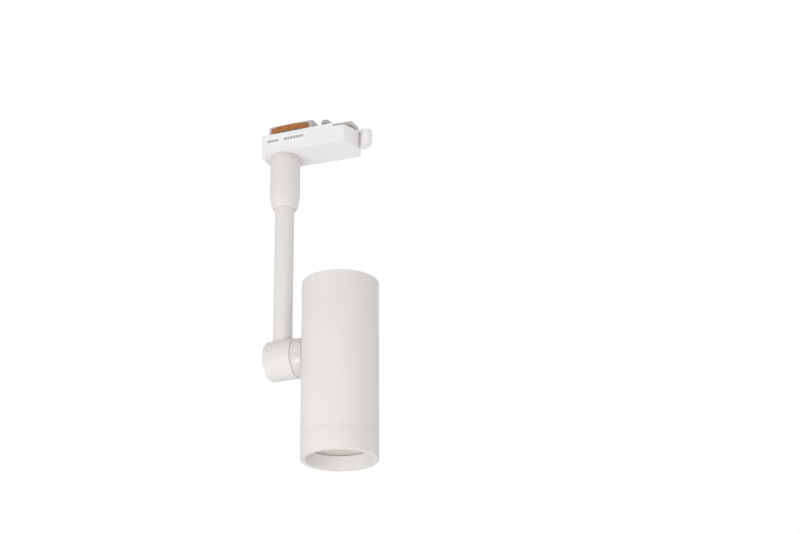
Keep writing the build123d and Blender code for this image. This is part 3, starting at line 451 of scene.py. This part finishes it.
# places taken from the frame, in millimetres
headLeft, headRight = span("head_tube", 0)
headRadius = (headRight - headLeft) / 2
headX = (headLeft + headRight) / 2
headCentre = (mm(headX), 0, 0)
tubeBottom, tubeTop = span("head_tube", 2)
capBottom, capTop = span("back_cap", 2)
ringBottom, ringTop = span("front_ring", 2)
kneeLow, kneeHigh = span("knuckle_housing", 2)
kneeZ = (kneeLow + kneeHigh) / 2
kneeRadius = (kneeHigh - kneeLow) / 2
kneeLeft, kneeRight = span("knuckle_housing", 0)
kneeCentre = (0, 0, mm(kneeZ))
stemLeft, stemRight = span("stem_tube", 0)
stemRadius = (stemRight - stemLeft) / 2
bossLeft = span("pivot_boss", 0)[0]
bossNear, bossFar = span("pivot_boss", 1)
bossRadius = (bossFar - bossNear) / 2

# lamp head: tube, back cap and front ring
head = {"wall": 2.0, "edge": 0.12, "capEdge": 0.5, "seam": 0.05, "capFit": 0.1, "plugWall": 2.0,
        "plugEdge": 0.3}


def buildHead(s):
    bore = headRadius - s["wall"]
    tube = turned("headTube", [
        (headRadius, tubeBottom, s["edge"]), (headRadius, tubeTop, s["edge"]),
        (bore, tubeTop, 0), (bore, tubeBottom, 0)], headCentre, segments=192)
    fit(tube, "head", "painted_aluminium", coated, "head_tube")
    flange = tubeTop + s["seam"]
    plug = bore - s["capFit"]
    hollow = plug - s["plugWall"]
    cap = turned("backCap", [
        (0, capTop, 0), (headRadius, capTop, s["capEdge"]), (headRadius, flange, s["edge"]),
        (plug, flange, 0), (plug, capBottom, s["plugEdge"]), (hollow, capBottom, s["plugEdge"]),
        (hollow, flange, 0), (0, flange, 0)], headCentre, segments=192)
    fit(cap, "head", "painted_aluminium", coated, "back_cap")


ring = {"rim": 4.0, "taper": 1.7, "baffle": 10.0, "lip": 0.8, "bore": 25.7, "spigot": 27.85,
        "seam": 0.05, "seamEdge": 0.12, "edge": 0.55, "mouthEdge": 0.5, "seatEdge": 0.2, "spigotEdge": 0.3}


def buildRing(s):
    mouth = headRadius - s["rim"]
    throat = mouth - s["taper"]
    seat = ringBottom + s["baffle"]
    shoulder = tubeBottom - s["seam"]
    piece = turned("frontRing", [
        (headRadius, shoulder, s["seamEdge"]), (headRadius, ringBottom, s["edge"]),
        (mouth, ringBottom, s["mouthEdge"]), (throat, seat, s["seatEdge"]), (throat, seat + s["lip"], 0),
        (s["bore"], seat + s["lip"], 0), (s["bore"], ringTop, s["spigotEdge"]),
        (s["spigot"], ringTop, s["spigotEdge"]), (s["spigot"], shoulder, 0)], headCentre, segments=192)
    fit(piece, "ring", "painted_aluminium", coated, "front_ring")


buildHead(head)
buildRing(ring)
print("head and ring built")

# stem, coupler and collar
stem = {"wall": 1.3, "bore": 5.1, "couplerEdge": 0.7, "straight": 28.1, "footEdge": 0.8, "footRadius": 9.6,
        "domeSteps": 9, "tubeFit": 0.05, "mouthEdge": 0.25, "socket": 6, "collarFoot": 0.2,
        "collarTop": 0.4}


def buildStem(s):
    low, high = span("stem_tube", 2)
    tube = turned("stemTube", [
        (stemRadius, low, 0), (stemRadius, high, 0), (stemRadius - s["wall"], high, 0),
        (stemRadius - s["wall"], low, 0)], (0, 0, 0), segments=96)
    fit(tube, "stem", "painted_aluminium", coated, "stem_tube")
    low, high = span("stem_coupler", 2)
    left, right = span("stem_coupler", 0)
    radius = (right - left) / 2
    shoulder = high - s["straight"]
    drop = shoulder - low
    inset = radius - s["footRadius"]
    domeRadius = (drop ** 2 + inset ** 2) / (2 * inset)
    outline = [(s["bore"], high, 0), (radius, high, s["couplerEdge"]), (radius, shoulder, 0)]
    for k in range(1, s["domeSteps"]):
        angle = asin(drop / domeRadius) * k / s["domeSteps"]
        outline.append((radius - domeRadius * (1 - cos(angle)), shoulder - domeRadius * sin(angle), 0))
    socketRadius = stemRadius + s["tubeFit"]
    outline += [(s["footRadius"], low, s["footEdge"]), (socketRadius, low, s["mouthEdge"]),
                (socketRadius, low + s["socket"], 0), (s["bore"], low + s["socket"], 0)]
    coupler = turned("stemCoupler", outline, (0, 0, 0), segments=128)
    fit(coupler, "stem", "painted_aluminium", coated, "stem_coupler")
    low, high = span("swivel_collar", 2)
    radius = span("swivel_collar", 0)[1]
    collar = turned("swivelCollar", [
        (s["bore"], low, 0), (radius, low, s["collarFoot"]), (radius, high, s["collarTop"]),
        (s["bore"], high, 0)], (0, 0, 0), segments=96)
    fit(collar, "stem", "painted_aluminium", coated, "swivel_collar")


buildStem(stem)

# knuckle: housing, end cap, friction washer, boss and gasket
knuckle = {"freeEdge": 1.2, "washerEdge": 0.35, "boreEdge": 0.2, "wall": 3.2, "pivotWall": 3.2,
           "pivotRadius": 5.05, "capGap": 0.08, "capEdge": 0.3, "capRim": 1.0, "capSlope": 0.2,
           "capRecess": 0.35, "rimEdge": 0.15, "washerBore": 5, "washerInset": 0.3, "washerCorner": 0.1}


def buildKnuckle(s):
    bore = kneeRadius - s["wall"]
    web = kneeRight - s["pivotWall"]
    housing = turned("knuckleHousing", [
        (kneeRadius, kneeLeft, s["freeEdge"]), (kneeRadius, kneeRight, s["washerEdge"]),
        (s["pivotRadius"], kneeRight, 0), (s["pivotRadius"], web, 0), (bore, web, 0),
        (bore, kneeLeft, s["boreEdge"])], kneeCentre, "X")
    fit(housing, "stem", "painted_aluminium", coated, "knuckle_housing")
    inner = span("knuckle_cap", 0)[1]
    capRadius = bore - s["capGap"]
    rim = capRadius - s["capRim"]
    sunk = kneeLeft + s["capRecess"]
    cap = turned("knuckleCap", [
        (0, sunk, 0), (rim - s["capSlope"], sunk, s["rimEdge"]), (rim, kneeLeft, s["rimEdge"]),
        (capRadius, kneeLeft, s["capEdge"]), (capRadius, inner, s["boreEdge"]), (0, inner, 0)],
        kneeCentre, "X")
    fit(cap, "stem", "painted_aluminium", coated, "knuckle_cap")
    left, right = span("friction_washer", 0)
    radius = bossRadius - s["washerInset"]
    washer = turned("frictionWasher", [
        (s["washerBore"], left, 0), (radius, left, s["washerCorner"]), (radius, right, s["washerCorner"]),
        (s["washerBore"], right, 0)], kneeCentre, "X")
    fit(washer, "head", "washer_plastic", washerNylon, "friction_washer")


def saddled(name, rings, segments=144):
    # rings of (radius, place, offTube): place is along the tilt axis, or else how far off the head's tube
    bm = bmesh.new()
    columns = []
    for k in range(segments):
        angle = 2 * pi * k / segments
        column = []
        for radius, place, offTube in rings:
            y, z = radius * cos(angle), radius * sin(angle)
            reach = headRadius + place
            x = headX - sqrt(reach ** 2 - y ** 2) if offTube else place
            column.append(bm.verts.new((mm(x), mm(y), mm(kneeZ + z))))
        columns.append(column)
    for k in range(segments):
        a, b = columns[k], columns[(k + 1) % segments]
        for i in range(len(rings)):
            j = (i + 1) % len(rings)
            bm.faces.new([a[i], b[i], b[j], a[j]])
    return newPiece(name, bm)


boss = {"edge": 0.25, "edgeMiddle": 0.3, "clear": 0.5, "saddleEdge": 0.25, "saddleMiddle": 0.08,
        "bore": 5.0, "gasketInset": 0.1, "gasketTop": 0.48, "gasketFoot": 0.02}


def buildBoss(s):
    edge, radius, clear = s["edge"], bossRadius, s["clear"]
    middle = edge * s["edgeMiddle"]
    rings = [(s["bore"], bossLeft, False), (radius - edge, bossLeft, False),
             (radius - middle, bossLeft + middle, False), (radius, bossLeft + edge, False)]
    rings += [(radius, clear + s["saddleEdge"], True),
              (radius - s["saddleMiddle"], clear + s["saddleMiddle"], True),
              (radius - s["saddleEdge"], clear, True), (s["bore"] * 2, clear, True),
              (s["bore"], clear, True)]
    piece = saddled("pivotBoss", rings)
    fit(piece, "head", "turned_boss", enamel, "pivot_boss")
    inner = radius - s["gasketInset"]
    gasket = saddled("saddleGasket", [
        (s["bore"], s["gasketTop"], True), (inner, s["gasketTop"], True),
        (inner, s["gasketFoot"], True), (s["bore"], s["gasketFoot"], True)])
    fit(gasket, "head", "washer_plastic", washerNylon, "saddle_gasket")


buildKnuckle(knuckle)
buildBoss(boss)
print("stem and knuckle built")

# lamp: bezel, front glass, faceted reflector and source
lamp = {"bezelEdge": 0.7, "bezelTop": 0.3, "lip": 0.6, "lipEdge": 0.25, "lensEdge": 0.1, "lensCrease": 60,
        "stepPitch": 2.1, "stepDepth": 0.25, "stepMargin": 1.5, "facetRings": 7, "facetsRound": 36,
        "facetCrease": 3, "dishInset": 1.0, "dishBulge": 3.0, "dishShell": 0.6, "sourceEdge": 0.2,
        "chipDrop": 0.25, "chipRimDrop": 0.2, "chipEdge": 0.1, "chipShare": 0.62, "chipFoot": 0.66}


def buildLamp(s):
    low, high = span("lamp_bezel", 2)
    left, right = span("lamp_bezel", 0)
    outer = (right - left) / 2
    left, right = span("lamp_front_glass", 0)
    lens = (right - left) / 2
    lensLow, lensHigh = span("lamp_front_glass", 2)
    bezel = turned("lampBezel", [
        (outer, low, s["bezelEdge"]), (outer, high, s["bezelTop"]), (lens, high, 0), (lens, lensLow, 0),
        (lens - s["lip"], lensLow, 0), (lens - s["lip"], low, s["lipEdge"])], headCentre)
    fit(bezel, "head", "lamp_rim", shell, "lamp_bezel")
    # the lens has shallow round steps: a long slope, then a short one over a third of the pitch
    steps = [(0, lensLow, 0)]
    for k in range(1, int((lens - s["stepMargin"]) / s["stepPitch"]) + 1):
        steps += [(k * s["stepPitch"] - s["stepPitch"] / 3, lensLow + s["stepDepth"], 0),
                  (k * s["stepPitch"], lensLow, 0)]
    lensDisc = turned("lampFrontLens", steps + [
        (lens, lensLow, s["lensEdge"]), (lens, lensHigh, s["lensEdge"]), (0, lensHigh, 0)],
        headCentre, crease=s["lensCrease"])
    fit(lensDisc, "head", "lamp_glass", lensPlastic, "lamp_front_glass")
    facetedDish(s, lens)
    left, right = span("lamp_source", 0)
    low, high = span("lamp_source", 2)
    radius = (right - left) / 2
    source = turned("lampSource", [
        (0, low - s["chipDrop"], 0), (radius * s["chipShare"], low - s["chipRimDrop"], s["chipEdge"]),
        (radius * s["chipFoot"], low, 0), (radius, low, s["sourceEdge"]),
        (radius, high, s["sourceEdge"]), (0, high, 0)], headCentre)
    fit(source, "head", "lamp_phosphor", emitter, "lamp_source")


def facetedDish(s, mouthRadius):
    # rows of flat facets, each row turned by half a facet against the one before
    low, high = span("lamp_reflector", 2)
    left, right = span("lamp_source", 0)
    edge, throat = mouthRadius - s["dishInset"], (right - left) / 2
    count = s["facetsRound"]
    bm = bmesh.new()
    rows = []
    for k in range(s["facetRings"] + 1):
        t = k / s["facetRings"]
        radius = edge + (throat - edge) * t + s["dishBulge"] * sin(pi * t)
        z = low + (high - low) * t
        row = []
        for n in range(count):
            angle = 2 * pi * n / count + pi / count * (k % 2)
            row.append(bm.verts.new((mm(headX + radius * cos(angle)), mm(radius * sin(angle)), mm(z))))
        rows.append(row)
    for k in range(s["facetRings"]):
        shift = k % 2
        for n in range(count):
            a, b = rows[k][n], rows[k][(n + 1) % count]
            c, d = rows[k + 1][(n + shift) % count], rows[k + 1][(n + shift + 1) % count]
            bm.faces.new((a, b, c))
            bm.faces.new((b, d, c))
    bmesh.ops.solidify(bm, geom=bm.faces[:], thickness=mm(s["dishShell"]))
    piece = newPiece("lampReflector", bm, s["facetCrease"])
    fit(piece, "head", "reflector_metal", mirror, "lamp_reflector")


buildLamp(lamp)
print("lamp built")

# adapter: housing, carrier, lever and label
adapter = {"housingEdge": 0.45, "carrierEdge": 0.3, "leverEdge": 0.7, "lugEdge": 0.3}
fit(softened("adapter_housing", "adapterHousing", adapter["housingEdge"]),
    "adapter", "adapter_plastic", moulded, "adapter_housing")
fit(softened("contact_carrier", "contactCarrier", adapter["carrierEdge"]),
    "adapter", "carrier_plastic", nylon, "contact_carrier")
fit(softened("lock_lever", "lockLever", adapter["leverEdge"]),
    "lever", "adapter_plastic", moulded, "lock_lever")
fit(softened("lock_lugs", "lockLugs", adapter["lugEdge"]), "lever", "zinc_steel", zinc, "lock_lugs")

label = {"corner": 0.8, "proud": 0.12, "markHeight": 2.3, "markProud": 0.02,
         "groups": ((3.0, 12), (17.5, 21)),       # each group's start and how many bars it has
         "barPitch": 0.85, "barWidth": 0.28, "barGrowth": 0.14, "shortBar": 0.8, "barCorner": 0.06}


def roundedPlate(bm, left, right, low, high, front, back, corner):
    # a thin plate that faces -Y, with round corners
    corners = ((left, low), (right, low), (right, high), (left, high))
    outline = eased([(x, z, corner) for x, z in corners])
    near = [bm.verts.new((mm(p.x), mm(front), mm(p.y))) for p in outline]
    far = [bm.verts.new((mm(p.x), mm(back), mm(p.y))) for p in outline]
    bm.faces.new(near)
    bm.faces.new(far[::-1])
    for i in range(len(near)):
        j = (i + 1) % len(near)
        bm.faces.new((near[i], far[i], far[j], near[j]))


def buildLabel(s):
    left, right = span("rating_label", 0)
    back = span("rating_label", 1)[1]
    low, high = span("rating_label", 2)
    face = back - s["proud"]
    bm = bmesh.new()
    roundedPlate(bm, left, right, low, high, face, back, s["corner"])
    fit(newPiece("ratingLabel", bm), "adapter", "label_film", film, "rating_label")
    # plain upright bars in two groups, where a maker would print
    bm = bmesh.new()
    middle = (low + high) / 2
    front = face - s["markProud"]
    for start, count in s["groups"]:
        for k in range(count):
            x = left + start + k * s["barPitch"]
            thick = s["barWidth"] + s["barGrowth"] * (k % 3)       # three widths in turn
            tall = s["markHeight"] / 2 * (1 if k % 5 else s["shortBar"])
            roundedPlate(bm, x, x + thick, middle - tall, middle + tall, front, face, s["barCorner"])
    fit(newPiece("labelMarks", bm), "adapter", "label_film", ink)


buildLabel(label)
print("adapter built")

# the frame's own pieces keep their shape and take their finish
finishes = {
    "adapter": {
        copper: ["live_contact", "neutral_contact", "earth_contact"],
        zinc: ["carrier_screws"], brass: ["terminal_screws", "swivel_bush"], nylon: ["terminal_block"],
        sleeve: ["live_wire", "earth_wire", "neutral_wire"]},
    "lever": {zinc: ["lever_spindle", "lug_screw"]},
    "stem": {zinc: ["swivel_washer", "swivel_nut", "stem_nipple"], sleeve: ["stem_cable"]},
    "head": {
        zinc: ["saddle_washer", "pivot_bolt", "pivot_washer", "pivot_nut", "bracket_posts",
               "lampholder_bracket", "post_screws", "holder_screws", "lamp_pins"],
        ceramic: ["lampholder"], shell: ["lamp_body"], sleeve: ["lamp_live_wire", "lamp_neutral_wire"]},
}
for bodyFinishes in finishes.values():
    for material, nodes in bodyFinishes.items():
        for node in nodes:
            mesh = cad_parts[node].data
            mesh.materials.clear()
            mesh.materials.append(material)
print("frame pieces finished")
